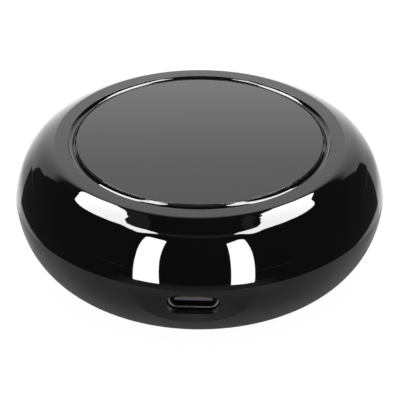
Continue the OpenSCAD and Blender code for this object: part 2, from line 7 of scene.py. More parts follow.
import json
import logging
import math
from collections.abc import Callable, Iterable, Iterator
from contextlib import contextmanager
from dataclasses import dataclass
from enum import Enum
from typing import Any

import bmesh
import bpy
from bpy.types import Material, Node, Object
from bpy.types import NodeSocket as Socket, NodeTree as Tree
from mathutils import Matrix, Vector


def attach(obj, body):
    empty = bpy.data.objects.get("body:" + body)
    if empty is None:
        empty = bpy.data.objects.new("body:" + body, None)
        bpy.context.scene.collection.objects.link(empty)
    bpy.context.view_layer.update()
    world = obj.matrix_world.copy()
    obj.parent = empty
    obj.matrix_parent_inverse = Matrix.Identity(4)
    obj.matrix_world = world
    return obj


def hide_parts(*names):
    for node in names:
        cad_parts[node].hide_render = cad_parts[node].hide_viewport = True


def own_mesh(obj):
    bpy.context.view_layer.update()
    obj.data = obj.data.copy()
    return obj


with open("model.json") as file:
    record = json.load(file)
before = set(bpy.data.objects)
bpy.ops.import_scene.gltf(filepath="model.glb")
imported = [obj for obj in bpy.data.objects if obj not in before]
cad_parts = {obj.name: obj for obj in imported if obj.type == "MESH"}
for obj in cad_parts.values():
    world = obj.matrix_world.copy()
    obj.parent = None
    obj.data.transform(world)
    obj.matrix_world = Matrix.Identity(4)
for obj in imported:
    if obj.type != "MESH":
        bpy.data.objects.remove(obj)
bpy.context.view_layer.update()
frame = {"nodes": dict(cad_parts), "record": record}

LOG = logging.getLogger("blaster")
CASE = "case"                        # body of every new piece
MM = 0.001                           # metres in a millimetre
FULL_TURN = 2 * math.pi              # radians
DEGREE = 180 / math.pi               # degrees in a radian
CREASE = 32.0                        # edges that bend more stay sharp
ROUNDING_STEPS = 6
Point = tuple[float, float]
Triple = tuple[float, float, float]
Look = tuple[Any, Any, Any]          # colour, roughness and metal share
WHITE: Triple = (1.0, 1.0, 1.0)
DRIFT_SHARE = 0.6                    # of the slow drift in roughness, beside the relief's own
DUST_COLOUR: Triple = (0.16, 0.16, 0.155)
DUST_ROUGH = 0.5
DARK = 0.07                          # radiance of what is dark in reflections
ARCH_MIDDLE = 3.5                    # of the light behind the object, off the back's middle towards -X
TOP_Z = 24.9                         # top of the rim and the disc
BOARD_Z = 7.02                       # underside of the board


class Grain(Enum):
    """Kinds of fine relief that a finish can have."""

    MOULDED = "moulded"
    BRUSHED = "brushed"


class TreeKind(Enum):
    """Kinds of node group, by Blender's name."""

    SHADER = "ShaderNodeTree"
    GEOMETRY = "GeometryNodeTree"


OUTPUT_TYPES = {TreeKind.SHADER: "NodeSocketFloat", TreeKind.GEOMETRY: "NodeSocketGeometry"}
NUMBER_TYPES = {int: "NodeSocketInt", float: "NodeSocketFloat"}


@dataclass(frozen=True)
class Ramp:
    """How one value follows another: a range that maps to another one, held at its ends."""

    source: Point
    target: Point = (0.0, 1.0)
    smooth: bool = False


class Graph:
    """Adds nodes to one node tree and wires them."""

    def __init__(self, tree: Tree) -> None:
        """Keeps the tree that the nodes go into."""
        self.tree = tree

    def add(self, kind: str, feeds: dict | None = None, **settings: Any) -> Node:
        """Adds a node.

        Args:
            kind: Blender's name of the node type.
            feeds: What each input gets, by its name or number: a value or another node's output.
            settings: Attributes of the node, set before its inputs.

        Returns:
            The new node.
        """
        node = self.tree.nodes.new(kind)
        for key, value in settings.items():
            setattr(node, key, value)
        for key, value in (feeds or {}).items():
            self.feed(node.inputs[key], value)
        return node

    def feed(self, socket: Socket, value: Any) -> None:
        """Wires an output to a socket, or sets the socket's own value."""
        if isinstance(value, Socket):
            self.tree.links.new(value, socket)
        else:
            socket.default_value = value

    def math(self, operation: str, a: Any, b: Any = 0.0) -> Socket:
        """Adds a Math node and returns its result."""
        return self.add("ShaderNodeMath", {0: a, 1: b}, operation=operation).outputs[0]

    def plus(self, a: Any, b: Any) -> Socket:
        """Adds two values."""
        return self.math("ADD", a, b)

    def minus(self, a: Any, b: Any) -> Socket:
        """Takes the second value from the first."""
        return self.math("SUBTRACT", a, b)

    def times(self, a: Any, *others: Any) -> Socket:
        """Multiplies values."""
        for other in others:
            a = self.math("MULTIPLY", a, other)
        return a

    def over(self, a: Any, b: Any) -> Socket:
        """Divides the first value by the second."""
        return self.math("DIVIDE", a, b)

    def bearing(self, a: Any, b: Any) -> Socket:
        """Angle in degrees whose tangent is the first value over the second."""
        return self.times(self.math("ARCTAN2", a, b), DEGREE)

    def off(self, x: Any, y: Any, middle: float, apex: float = 0.0) -> Socket:
        """Angle in degrees off the middle of a sector, which opens backwards from an apex before the axis."""
        return self.math("ABSOLUTE", self.plus(self.bearing(x, self.plus(y, apex * MM)), middle))

    def blend(self, share: Any, low: Any, high: Any) -> Socket:
        """Mixes two colours by a share."""
        return self.add("ShaderNodeMix", {0: share, 6: low, 7: high}, data_type="RGBA").outputs[2]

    def ramp(self, value: Any, ramp: Ramp) -> Socket:
        """Maps a value by a ramp."""
        feeds = dict(enumerate((value, *ramp.source, *ramp.target)))
        kind = "SMOOTHSTEP" if ramp.smooth else "LINEAR"
        return self.add("ShaderNodeMapRange", feeds, interpolation_type=kind).outputs[0]

    def place(self) -> Socket:
        """Place of the shaded point in the object's own coordinates, in metres."""
        return self.add("ShaderNodeTexCoord").outputs["Object"]

    def parts(self, vector: Any) -> tuple[Socket, ...]:
        """Splits a vector into X, Y and Z."""
        return tuple(self.add("ShaderNodeSeparateXYZ", {0: vector}).outputs)


def rgba(colour: Triple) -> tuple[float, float, float, float]:
    """Gives a colour its alpha of one."""
    return (*colour, 1.0)


def new_group(name: str, kind: TreeKind, inputs: dict[str, Any],
              outputs: tuple[str, ...]) -> tuple[Graph, Any, Any]:
    """Makes a node group with named sockets.

    Args:
        name: Name of the group.
        kind: Whether it shades or shapes.
        inputs: Socket type, or its default number, by input name.
        outputs: Names of the outputs, numbers in shader groups and geometry in the others.

    Returns:
        The group's graph, what it is given and what it gives out, both by socket name.
    """
    tree = bpy.data.node_groups.new(name, kind.value)
    for label, value in inputs.items():
        socket_type = NUMBER_TYPES.get(type(value), value)
        socket = tree.interface.new_socket(name=label, in_out="INPUT", socket_type=socket_type)
        if socket_type is not value:
            socket.default_value = value
    for label in outputs:
        tree.interface.new_socket(name=label, in_out="OUTPUT", socket_type=OUTPUT_TYPES[kind])
    graph = Graph(tree)
    return graph, graph.add("NodeGroupInput").outputs, graph.add("NodeGroupOutput").inputs


def empty_material(name: str) -> tuple[Material, Graph, Socket]:
    """Makes a material and returns it with its graph and the socket for its surface."""
    material = bpy.data.materials.new(name)
    material.use_nodes = True
    graph = Graph(material.node_tree)
    graph.tree.nodes.clear()
    return material, graph, graph.add("ShaderNodeOutputMaterial").inputs["Surface"]


@dataclass
class SurfaceEffects:
    """Shader groups that several finishes share, each built once."""

    speck: Ramp = Ramp((0.02, 0.09), (1.0, 0.0), smooth=True)
    speck_facing: Ramp = Ramp((0.2, 0.9), smooth=True)
    track_gap: float = 0.12
    track_length: float = 3.0
    track_row: float = 0.5
    track_edge: Ramp = Ramp((0.4, 0.6), smooth=True)

    def __post_init__(self) -> None:
        """Builds every group."""
        self.grain = self._noise("fine_grain", 0.0002, detail=3.0, height=Ramp((0.3, 0.7)),
                                 mask=Ramp((0.45, 0.65), smooth=True))
        self.patches = self._noise("slow_drift", 0.01, detail=1.5, mask=Ramp((0.35, 0.65), smooth=True))
        self.brush = self._noise("drawn_lines", 0.0001, detail=2.0, height=Ramp((0.0, 1.0)),
                                 mask=Ramp((0.4, 0.6)), stretch=(1.0, 0.04, 1.0))
        self.dust = self._dust()
        self.tracks = self._tracks()

    @staticmethod
    def _noise(name: str, size: float, detail: float, mask: Ramp, height: Ramp | None = None,
               stretch: Triple = (1.0, 1.0, 1.0)) -> Tree:
        """Builds a group of noise on the object's own coordinates.

        Args:
            name: Name of the group.
            size: Feature size that it has unless it is given another.
            detail: How much finer noise is laid over it.
            mask: How the mask follows the noise.
            height: How the height follows it, in a group that has one.
            stretch: Scale along each axis, smallest along lines.

        Returns:
            The group.
        """
        outputs = ("Height", "Mask") if height else ("Mask",)
        graph, given, out = new_group(name, TreeKind.SHADER, {"Size": size}, outputs)
        place = graph.add("ShaderNodeMapping", {"Vector": graph.place(), "Scale": stretch}).outputs[0]
        feeds = {"Vector": place, "Scale": graph.over(1.0, given["Size"]), "Detail": detail}
        noise = graph.add("ShaderNodeTexNoise", feeds).outputs[0]
        graph.feed(out["Mask"], graph.ramp(noise, mask))
        if height:
            graph.feed(out["Height"], graph.ramp(noise, height))
        return graph.tree

    def _dust(self) -> Tree:
        """Sparse specks that settle on what faces up."""
        sizes = {"Size": 0.0006, "Amount": 0.1}
        graph, given, out = new_group("settled_dust", TreeKind.SHADER, sizes, ("Mask",))
        feeds = {"Vector": graph.place(), "Scale": graph.over(1.0, given["Size"])}
        cells = graph.add("ShaderNodeTexVoronoi", feeds).outputs
        chosen = graph.add("ShaderNodeSeparateColor", {0: cells["Color"]}).outputs[0]
        some = graph.math("LESS_THAN", chosen, given["Amount"])
        upwards = graph.parts(graph.add("ShaderNodeNewGeometry").outputs["Normal"])[2]
        speck = graph.ramp(cells["Distance"], self.speck)
        graph.feed(out["Mask"], graph.times(speck, some, graph.ramp(upwards, self.speck_facing)))
        return graph.tree

    def _tracks(self) -> Tree:
        """Copper tracks under solder resist: short straight runs on a fine grid."""
        graph, given, out = new_group("buried_tracks", TreeKind.SHADER, {"Pitch": 0.0012}, ("Height", "Mask"))
        grid = graph.add("ShaderNodeTexBrick", {
            "Vector": graph.place(), "Scale": graph.over(1.0, given["Pitch"]),
            "Color1": rgba((0.0, 0.0, 0.0)), "Color2": rgba(WHITE), "Mortar": rgba((0.5, 0.5, 0.5)),
            "Mortar Size": self.track_gap, "Brick Width": self.track_length, "Row Height": self.track_row})
        value = graph.add("ShaderNodeSeparateColor", {0: grid.outputs[0]}).outputs[0]
        track = graph.ramp(value, self.track_edge)
        graph.feed(out["Height"], track)
        graph.feed(out["Mask"], track)
        return graph.tree


@dataclass(frozen=True)
class Finish:
    """One surface finish: two near colours, a range of roughness and a fine relief, in metres."""

    name: str
    colour: Triple
    drift: Triple
    rough: Point
    grain: Grain = Grain.MOULDED
    grain_size: float = 0.0002
    relief: float = 0.000002
    patch_size: float = 0.012
    metallic: float = 0.0
    ior: float = 1.5
    coat: float = 0.0
    dust: float = 0.0
    see_through: float = 0.0

    def build(self, effects: SurfaceEffects) -> Material:
        """Makes the finish's material.

        Args:
            effects: The shared shader groups.

        Returns:
            The material.
        """
        material, graph, surface = empty_material(self.name)
        drift = self._use(graph, effects.patches, self.patch_size)["Mask"]
        relief = self._relief(graph, effects)
        colour = self._colour(graph, drift, relief["Mask"])
        share = graph.plus(graph.times(drift, DRIFT_SHARE), graph.times(relief["Mask"], 1.0 - DRIFT_SHARE))
        rough = graph.ramp(share, Ramp((0.0, 1.0), self.rough))
        colour, rough, metallic = self._by_place(graph, colour, rough)
        if self.dust:
            feeds = {"Amount": self.dust}
            specks = graph.add("ShaderNodeGroup", feeds, node_tree=effects.dust).outputs["Mask"]
            colour = graph.blend(specks, colour, rgba(DUST_COLOUR))
            rough = graph.math("MAXIMUM", rough, graph.times(specks, DUST_ROUGH))
        bump = graph.add("ShaderNodeBump", {
            "Strength": 1.0, "Distance": self.relief, "Height": relief["Height"]})
        shader = graph.add("ShaderNodeBsdfPrincipled", {
            "Base Color": colour, "Roughness": rough, "Metallic": metallic, "IOR": self.ior,
            "Coat Weight": self.coat, "Transmission Weight": self.see_through, "Normal": bump.outputs[0]})
        graph.feed(surface, shader.outputs[0])
        return material

    def _colour(self, graph: Graph, drift: Socket, relief: Socket) -> Socket:
        """Mixes the two colours by the slow drift."""
        return graph.blend(drift, rgba(self.colour), rgba(self.drift))

    def _by_place(self, graph: Graph, colour: Socket, rough: Socket) -> Look:
        """Leaves colour, roughness and metal share alike all over the part."""
        return colour, rough, self.metallic

    @staticmethod
    def _use(graph: Graph, group: Tree, size: float) -> Any:
        """Places a shared group with a feature size and returns its outputs."""
        return graph.add("ShaderNodeGroup", {0: size}, node_tree=group).outputs

    def _relief(self, graph: Graph, effects: SurfaceEffects) -> Any:
        """Places the group that gives this finish its relief and returns its outputs."""
        group = effects.brush if self.grain is Grain.BRUSHED else effects.grain
        return self._use(graph, group, self.grain_size)


@dataclass(frozen=True)
class Laminate(Finish):
    """Circuit board: resist over buried tracks."""

    track_pitch: float = 0.0012

    def _relief(self, graph: Graph, effects: SurfaceEffects) -> Any:
        """Lets the tracks be the relief."""
        return self._use(graph, effects.tracks, self.track_pitch)

    def _colour(self, graph: Graph, drift: Socket, relief: Socket) -> Socket:
        """Makes the resist paler over the tracks."""
        return graph.blend(relief, rgba(self.colour), rgba(self.drift))


@dataclass(frozen=True)
class Sunken(Finish):
    """Part of the socket: its own colour at the mouth, and painted shade that darkens it further in."""

    mouth_y: Point = (-0.03089, -0.03078)
    # colour of the painted shade deep in the socket
    painted_shade: Triple = (0.05, 0.048, 0.045)

    def _by_place(self, graph: Graph, colour: Socket, rough: Socket) -> Look:
        """Paints shade on what lies behind the mouth."""
        # painted shade: the colour darkens from the mouth inwards, where little light reaches
        inside = graph.ramp(graph.parts(graph.place())[1], Ramp(self.mouth_y, smooth=True))
        return graph.blend(inside, colour, rgba(self.painted_shade)), rough, self.metallic


@dataclass(frozen=True)
class ErodedCase(Finish):
    """Matte case, with painted shade: its flat spot darker, and its slot black, where no light gets out
    again.
    """

    flat_y: float = -0.03249
    # colour of the painted shade on the flat spot
    flat_painted_shade: Triple = (0.0035, 0.0035, 0.0037)
    slot_middle: float = 0.01025
    slot_half: Point = (0.0049, 0.00205)
    # colour of the painted shade in the slot
    slot_painted_shade: Triple = (0.003, 0.003, 0.003)
    slot_y: Point = (-0.03249, -0.03246)

    def _by_place(self, graph: Graph, colour: Socket, rough: Socket) -> Look:
        """Paints shade on the flat spot and in the slot."""
        x, y, z = graph.parts(graph.place())
        # painted shade: the flat spot, which faces level, is darker than the belly round it
        flat = graph.math("LESS_THAN", y, self.flat_y)
        colour = graph.blend(flat, colour, rgba(self.flat_painted_shade))
        across = graph.math("ABSOLUTE", x)
        upright = graph.math("ABSOLUTE", graph.minus(z, self.slot_middle))
        # painted shade: the slot turns near black and fully metallic, so it gives back almost no light
        slot = graph.times(
            graph.math("LESS_THAN", across, self.slot_half[0]),
            graph.math("LESS_THAN", upright, self.slot_half[1]),
            graph.ramp(y, Ramp(self.slot_y)), graph.math("LESS_THAN", y, 0.0))
        return graph.blend(slot, colour, rgba(self.slot_painted_shade)), rough, slot


FINISHES = (
    Finish("gloss_cover", (0.0008, 0.0008, 0.0009), (0.0012, 0.0012, 0.0013), (0.015, 0.03),
           grain_size=0.004, relief=0.0000001, patch_size=0.02),
    Finish("top_disc", (0.0012, 0.0012, 0.0013), (0.0018, 0.0018, 0.0019), (0.03, 0.06),
           grain_size=0.003, relief=0.0000001, patch_size=0.015),
    Finish("adhesive_film", (0.7, 0.68, 0.6), (0.62, 0.59, 0.5), (0.55, 0.75),
           grain_size=0.0008, relief=0.00001),
    ErodedCase("matte_case", (0.007, 0.007, 0.0073), (0.0085, 0.0085, 0.0088), (0.38, 0.44),
               grain_size=0.00014, relief=0.000003, patch_size=0.01, ior=1.3, dust=0.004),
    Finish("foot_rubber", (0.022, 0.022, 0.022), (0.03, 0.03, 0.029), (0.75, 0.9),
           grain_size=0.0003, relief=0.00001),
    Finish("screw_steel", (0.62, 0.62, 0.64), (0.5, 0.5, 0.5), (0.22, 0.4), Grain.BRUSHED,
           grain_size=0.0001, metallic=1.0),
    Laminate("board_green", (0.008, 0.07, 0.03), (0.02, 0.14, 0.06), (0.2, 0.3), relief=0.00002, coat=0.4),
    # the two socket finishes darken inwards from the mouth: painted shade
    Sunken("socket_steel", (0.4, 0.4, 0.41), (0.34, 0.34, 0.35), (0.22, 0.36), Grain.BRUSHED,
           grain_size=0.00012, metallic=1.0),
    Sunken("socket_plastic", (0.045, 0.045, 0.045), (0.055, 0.055, 0.055), (0.4, 0.5),
           relief=0.000004, mouth_y=(-0.0303, -0.0299), painted_shade=(0.004, 0.004, 0.004)),
    Finish("gold_contact", (0.86, 0.6, 0.22), (0.7, 0.46, 0.15), (0.2, 0.32), Grain.BRUSHED, metallic=1.0),
    Laminate("board_blue", (0.008, 0.02, 0.09), (0.02, 0.05, 0.16), (0.2, 0.3),
             relief=0.00002, coat=0.4, track_pitch=0.0009),
    Finish("chip_black", (0.018, 0.018, 0.018), (0.028, 0.028, 0.027), (0.5, 0.65),
           grain_size=0.00012, relief=0.000006, patch_size=0.002),
    Finish("shield_steel", (0.66, 0.66, 0.65), (0.55, 0.55, 0.54), (0.25, 0.4), Grain.BRUSHED, metallic=1.0),
    Finish("emitter_resin", (0.72, 0.8, 0.96), (0.66, 0.74, 0.93), (0.04, 0.08),
           grain_size=0.002, relief=0.000001, see_through=0.92),
    Finish("tinned_lead", (0.72, 0.72, 0.71), (0.6, 0.6, 0.58), (0.18, 0.34),
           metallic=1.0, grain_size=0.0004),
    Finish("receiver_resin", (0.012, 0.01, 0.011), (0.018, 0.014, 0.015), (0.1, 0.18), relief=0.000001),
    Finish("led_white", (0.78, 0.77, 0.72), (0.7, 0.69, 0.62), (0.4, 0.55), patch_size=0.002),
    Finish("button_plastic", (0.06, 0.06, 0.062), (0.075, 0.075, 0.077), (0.42, 0.55),
           relief=0.000004, patch_size=0.003),
    Finish("stem_plastic", (0.7, 0.67, 0.58), (0.62, 0.58, 0.48), (0.4, 0.5), patch_size=0.002),
    Finish("capacitor_can", (0.78, 0.78, 0.79), (0.66, 0.66, 0.68), (0.2, 0.35), Grain.BRUSHED, metallic=1.0),
    Finish("ceramic_tan", (0.38, 0.25, 0.14), (0.3, 0.19, 0.1), (0.5, 0.65), patch_size=0.001),
)


@dataclass(frozen=True)
class Corner:
    """A corner of a profile, as radius and height, with the radius of its rounding."""

    r: float
    z: float
    round: float = 0.0


def arc(centre: Point, axes: Point, start: float, end: float, steps: int) -> list[Corner]:
    """Lays corners along an ellipse.

    Args:
        centre: Radius and height of the ellipse's centre.
        axes: Half width and half height.
        start: First angle.
        end: Last angle.
        steps: Number of steps between them.

    Returns:
        The corners, both ends included.
    """
    turns = [math.radians(start + (end - start) * i / steps) for i in range(steps + 1)]
    return [Corner(centre[0] + axes[0] * math.cos(t), centre[1] + axes[1] * math.sin(t)) for t in turns]


def rounded(corners: Iterable[Corner]) -> list[Point]:
    """Rounds the corners that ask for it.

    Args:
        corners: Corners of an open profile.

    Returns:
        Points of the profile, as radius and height.
    """
    corners = list(corners)
    points: list[Point] = []
    for i, corner in enumerate(corners):
        if not corner.round or i in (0, len(corners) - 1):
            points.append((corner.r, corner.z))
            continue
        here = Vector((corner.r, corner.z))
        back = Vector((corners[i - 1].r, corners[i - 1].z)) - here
        ahead = Vector((corners[i + 1].r, corners[i + 1].z)) - here
        half = back.angle(ahead) / 2
        reach = min(corner.round / math.tan(half), back.length / 2, ahead.length / 2)
        middle = here + (back.normalized() + ahead.normalized()).normalized() * (reach / math.cos(half))
        spoke = here + back.normalized() * reach - middle
        goal = here + ahead.normalized() * reach - middle
        sweep = math.atan2(spoke.cross(goal), spoke.dot(goal))
        for k in range(ROUNDING_STEPS + 1):
            turn = sweep * k / ROUNDING_STEPS
            across = spoke.x * math.cos(turn) - spoke.y * math.sin(turn)
            along = spoke.x * math.sin(turn) + spoke.y * math.cos(turn)
            points.append((middle.x + across, middle.y + along))
    return points


def mesh_object(name: str, points: Iterable[Iterable[float]], edges: list, faces: list) -> Object:
    """Makes an object at the origin from points in millimetres, with edges and faces."""
    mesh = bpy.data.meshes.new(name)
    mesh.from_pydata([tuple(c * MM for c in p) for p in points], edges, faces)
    made = bpy.data.objects.new(name, mesh)
    bpy.context.scene.collection.objects.link(made)
    return made


@contextmanager
def editing(made: Object) -> Iterator[bmesh.types.BMesh]:
    """Opens an object's mesh for changes and writes them back."""
    shape = bmesh.new()
    shape.from_mesh(made.data)
    yield shape
    shape.to_mesh(made.data)
    shape.free()


def keep_result(made: Object) -> None:
    """Turns what an object's modifiers make of it into its plain mesh, and removes them."""
    source = made.data
    shape = bpy.data.meshes.new_from_object(made.evaluated_get(bpy.context.evaluated_depsgraph_get()))
    made.modifiers.clear()
    made.data = shape
    bpy.data.meshes.remove(source)


def run_tree(made: Object, tree: Tree, values: dict[str, Any]) -> None:
    """Runs a Geometry Nodes tree on an object and keeps the result as a plain mesh.

    Args:
        made: The object that the tree works on.
        tree: The tree.
        values: What its named inputs get.
    """
    modifier = made.modifiers.new("build", "NODES")
    modifier.node_group = tree
    for item in tree.interface.items_tree:
        if item.item_type == "SOCKET" and item.in_out == "INPUT" and item.name in values:
            modifier[item.identifier] = values[item.name]
    keep_result(made)


def finish_faces(made: Object) -> None:
    """Points an object's faces outwards and shades them smooth up to the crease angle.

    Large faces weigh more in the normals, so that flats stay flat beside narrow roundings.

    Args:
        made: The object.
    """
    with editing(made) as shape:
        bmesh.ops.recalc_face_normals(shape, faces=shape.faces)
    made.data.shade_smooth()
    made.data.set_sharp_from_angle(angle=math.radians(CREASE))
    weights = made.modifiers.new("weights", "WEIGHTED_NORMAL")
    weights.keep_sharp = True
    keep_result(made)


class ShapeTrees:
    """Geometry Nodes trees that several pieces share, each built once. Their angles are radians."""

    merge_gap: float = 0.0000002

    def __init__(self) -> None:
        """Builds every tree."""
        self.lathe = self._lathe()
        self.ring = self._ring()

    @staticmethod
    def _end(graph: Graph, given: Any, out: Any, shape: Socket) -> Tree:
        """Closes a tree with Realize Instances and Set Material, and returns it."""
        real = graph.add("GeometryNodeRealizeInstances", {0: shape}).outputs[0]
        feeds = {"Geometry": real, "Material": given["Material"]}
        graph.feed(out["Shape"], graph.add("GeometryNodeSetMaterial", feeds).outputs[0])
        return graph.tree

    @staticmethod
    def _round_axis(graph: Graph, radius: Any, angle: Any, height: Any = 0.0) -> Socket:
        """Point at a radius from the Z axis, an angle and a height."""
        across = graph.times(radius, graph.math("COSINE", angle))
        along = graph.times(radius, graph.math("SINE", angle))
        return graph.add("ShaderNodeCombineXYZ", {0: across, 1: along, 2: height}).outputs[0]

    def _lathe(self) -> Tree:
        """Turns a profile, given as a chain of points in the XZ plane, about the Z axis."""
        inputs = {"Profile": "NodeSocketGeometry", "Segments": 192, "Material": "NodeSocketMaterial"}
        graph, given, out = new_group("turned_profile", TreeKind.GEOMETRY, inputs, ("Shape",))
        count = graph.add("GeometryNodeAttributeDomainSize", {0: given["Profile"]}).outputs["Point Count"]
        columns = graph.plus(given["Segments"], 1.0)
        grid = graph.add("GeometryNodeMeshGrid", {"Vertices X": columns, "Vertices Y": count}).outputs[0]
        index = graph.add("GeometryNodeInputIndex").outputs[0]
        row = graph.math("MODULO", index, count)
        column = graph.math("FLOOR", graph.over(index, count))
        angle = graph.times(graph.over(column, given["Segments"]), FULL_TURN)
        sample = graph.add("GeometryNodeSampleIndex", data_type="FLOAT_VECTOR", domain="POINT")
        graph.feed(sample.inputs["Geometry"], given["Profile"])
        graph.feed(sample.inputs["Value"], graph.add("GeometryNodeInputPosition").outputs[0])
        graph.feed(sample.inputs["Index"], row)
        radius, _, height = graph.parts(sample.outputs[0])
        feeds = {"Geometry": grid, "Position": self._round_axis(graph, radius, angle, height)}
        moved = graph.add("GeometryNodeSetPosition", feeds).outputs[0]
        feeds = {"Geometry": moved, "Distance": self.merge_gap}
        return self._end(graph, given, out, graph.add("GeometryNodeMergeByDistance", feeds).outputs[0])

    def _ring(self) -> Tree:
        """Repeats a shape round the Z axis, turned so that its +X points outwards."""
        inputs = {"Shape": "NodeSocketGeometry", "Count": 3, "Radius": 0.01, "Start": 0.0,
                  "Material": "NodeSocketMaterial"}
        graph, given, out = new_group("ring_of_copies", TreeKind.GEOMETRY, inputs, ("Shape",))
        index = graph.add("GeometryNodeInputIndex").outputs[0]
        angle = graph.plus(graph.times(graph.over(index, given["Count"]), FULL_TURN), given["Start"])
        feeds = {"Count": given["Count"], "Position": self._round_axis(graph, given["Radius"], angle)}
        points = graph.add("GeometryNodePoints", feeds).outputs[0]
        turn = graph.add("ShaderNodeCombineXYZ", {2: angle}).outputs[0]
        rotation = graph.add("FunctionNodeEulerToRotation", {0: turn}).outputs[0]
        feeds = {"Points": points, "Instance": given["Shape"], "Rotation": rotation}
        copies = graph.add("GeometryNodeInstanceOnPoints", feeds).outputs[0]
        return self._end(graph, given, out, copies)


@dataclass
class Kit:
    """What every sub-assembly needs: the materials by slot and the shared trees."""

    materials: dict[str, Material]
    trees: ShapeTrees

    def turn(self, name: str, corners: Iterable[Corner], slot: str, segments: int) -> Object:
        """Turns a profile into a piece.

        Args:
            name: Name of the piece.
            corners: Its profile, from end to end.
            slot: Material slot of the record that it is dressed in.
            segments: Number of segments round the axis.

        Returns:
            The piece as a plain mesh.
        """
        points = rounded(corners)
        chain = [(i, i + 1) for i in range(len(points) - 1)]
        made = mesh_object(name, [(r, 0.0, z) for r, z in points], chain, [])
        run_tree(made, self.trees.lathe, {"Segments": segments, "Material": self.materials[slot]})
        finish_faces(made)
        return made

    def ride(self, made: Object, slot: str, *replaced: str) -> None:
        """Puts a finished piece on the case, in place of CAD nodes where any are given, and reports it.

        Args:
            made: The piece.
            slot: Its material slot, which is not used.
            replaced: CAD nodes that it stands for.
        """
        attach(made, CASE)
        if replaced:
            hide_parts(*replaced)
        LOG.info("%s: %d faces", made.name, len(made.data.polygons))

    def ring(self, made: Object, slot: str, count: int, radius: float, start: float = 0.0) -> None:
        """Repeats a piece round the Z axis and puts the ring on the case.

        Args:
            made: The piece, with its +X to point outwards.
            slot: Its material slot.
            count: Number of copies.
            radius: Radius of the ring.
            start: Angle of the first copy.
        """
        values = {"Count": count, "Radius": radius * MM, "Start": math.radians(start)}
        run_tree(made, self.trees.ring, {**values, "Material": self.materials[slot]})
        finish_faces(made)
        self.ride(made, slot)

    def dress(self, *nodes: str) -> None:
        """Gives CAD nodes the material of the slot that the record names for them."""
        slots = {part["node"]: part["material_slot"] for part in frame["record"]["subparts"]}
        for node in nodes:
            for place in frame["nodes"][node].material_slots:
                place.material = self.materials[slots[node]]
            LOG.info("%s: CAD mesh in %s", node, slots[node])


@dataclass
class PhotoCamera:
    """Camera at the photograph's viewing angle."""

    distance: float = 333.84
    aim_height: float = 14.6
    elevation: float = 31.78
    azimuth: float = 2.0
    tilt: float = 0.461
    yaw: float = 0.014
    focal_share: float = 4.429625
    sensor: float = 36.0
    clip: Point = (0.01, 20.0)

    def build(self) -> None:
        """Makes the camera and hands it to the scene."""
        data = bpy.data.cameras.new("photo_camera")
        data.sensor_width = self.sensor
        data.lens = self.sensor * self.focal_share
        data.clip_start, data.clip_end = self.clip
        camera = bpy.data.objects.new("photo_camera", data)
        bpy.context.scene.collection.objects.link(camera)
        back = towards(self.azimuth, self.elevation)
        camera.location = (Vector((0, 0, self.aim_height)) + back * self.distance) * MM
        aim = -towards(self.azimuth - self.yaw, self.elevation + self.tilt)
        camera.rotation_mode = "QUATERNION"
        camera.rotation_quaternion = aim.to_track_quat("-Z", "Y")
        bpy.context.scene.camera = camera


def towards(azimuth: float, elevation: float) -> Vector:
    """Unit vector towards an azimuth from -Y and an elevation."""
    a, e = math.radians(azimuth), math.radians(elevation)
    return Vector((math.sin(a) * math.cos(e), -math.cos(a) * math.cos(e), math.sin(e)))


def glowing(name: str, light: float | Callable[[Graph], Socket]) -> Material:
    """Makes a material that only glows.

    Args:
        name: Name of the material.
        light: Its radiance, or what builds that on a graph. Only plain lamps are sampled as lights.

    Returns:
        The material.
    """
    material, graph, surface = empty_material(name)
    built = callable(light)
    glow = graph.add("ShaderNodeEmission", {"Strength": light(graph) if built else light})
    graph.feed(surface, glow.outputs[0])
    if built:
        material.cycles.emission_sampling = "NONE"
    return material


def reflect_only(made: Object, material: Material) -> None:
    """Dresses a studio object and shows it to reflections alone."""
    made.data.materials.append(material)
    for rays in ("camera", "diffuse", "transmission", "volume_scatter", "shadow"):
        setattr(made, f"visible_{rays}", False)


@dataclass
class Backdrop:
    """Even white light from all round, and a pale floor that keeps the object's soft shadow."""

    floor_size: float = 3000.0
    floor_drop: float = 0.02
    floor_colour: Triple = (0.98, 0.98, 0.98)
    glow: float = 1.03
    seen_share: float = 0.94
    lit_share: float = 0.6

    def build(self) -> None:
        """Makes the world and the floor."""
        world = bpy.data.worlds.new("white_studio")
        world.use_nodes = True
        background = world.node_tree.nodes["Background"].inputs
        background["Color"].default_value = rgba(WHITE)
        background["Strength"].default_value = 1.0
        bpy.context.scene.world = world
        half, level = self.floor_size / 2, -self.floor_drop
        corners = [(-half, -half, level), (half, -half, level), (half, half, level), (-half, half, level)]
        floor = mesh_object("studio_floor", corners, [], [(0, 1, 2, 3)])
        floor.data.materials.append(self._pale())

    def _pale(self) -> Material:
        """Makes the floor's material: partly its own glow for camera and diffuse rays, clear from below."""
        material, graph, surface = empty_material("pale_floor")
        diffuse = graph.add("ShaderNodeBsdfDiffuse", {"Color": rgba(self.floor_colour)}).outputs[0]
        glow = graph.add("ShaderNodeEmission", {"Color": rgba(WHITE), "Strength": self.glow}).outputs[0]
        rays = graph.add("ShaderNodeLightPath").outputs
        share = graph.plus(graph.times(rays["Is Camera Ray"], self.seen_share),
                           graph.times(rays["Is Diffuse Ray"], self.lit_share))
        mixed = graph.add("ShaderNodeMixShader", {0: share, 1: diffuse, 2: glow}).outputs[0]
        clear = graph.add("ShaderNodeBsdfTransparent").outputs[0]
        below = graph.add("ShaderNodeNewGeometry").outputs["Backfacing"]
        sided = graph.add("ShaderNodeMixShader", {0: below, 1: mixed, 2: clear}).outputs[0]
        graph.feed(surface, sided)
        return material


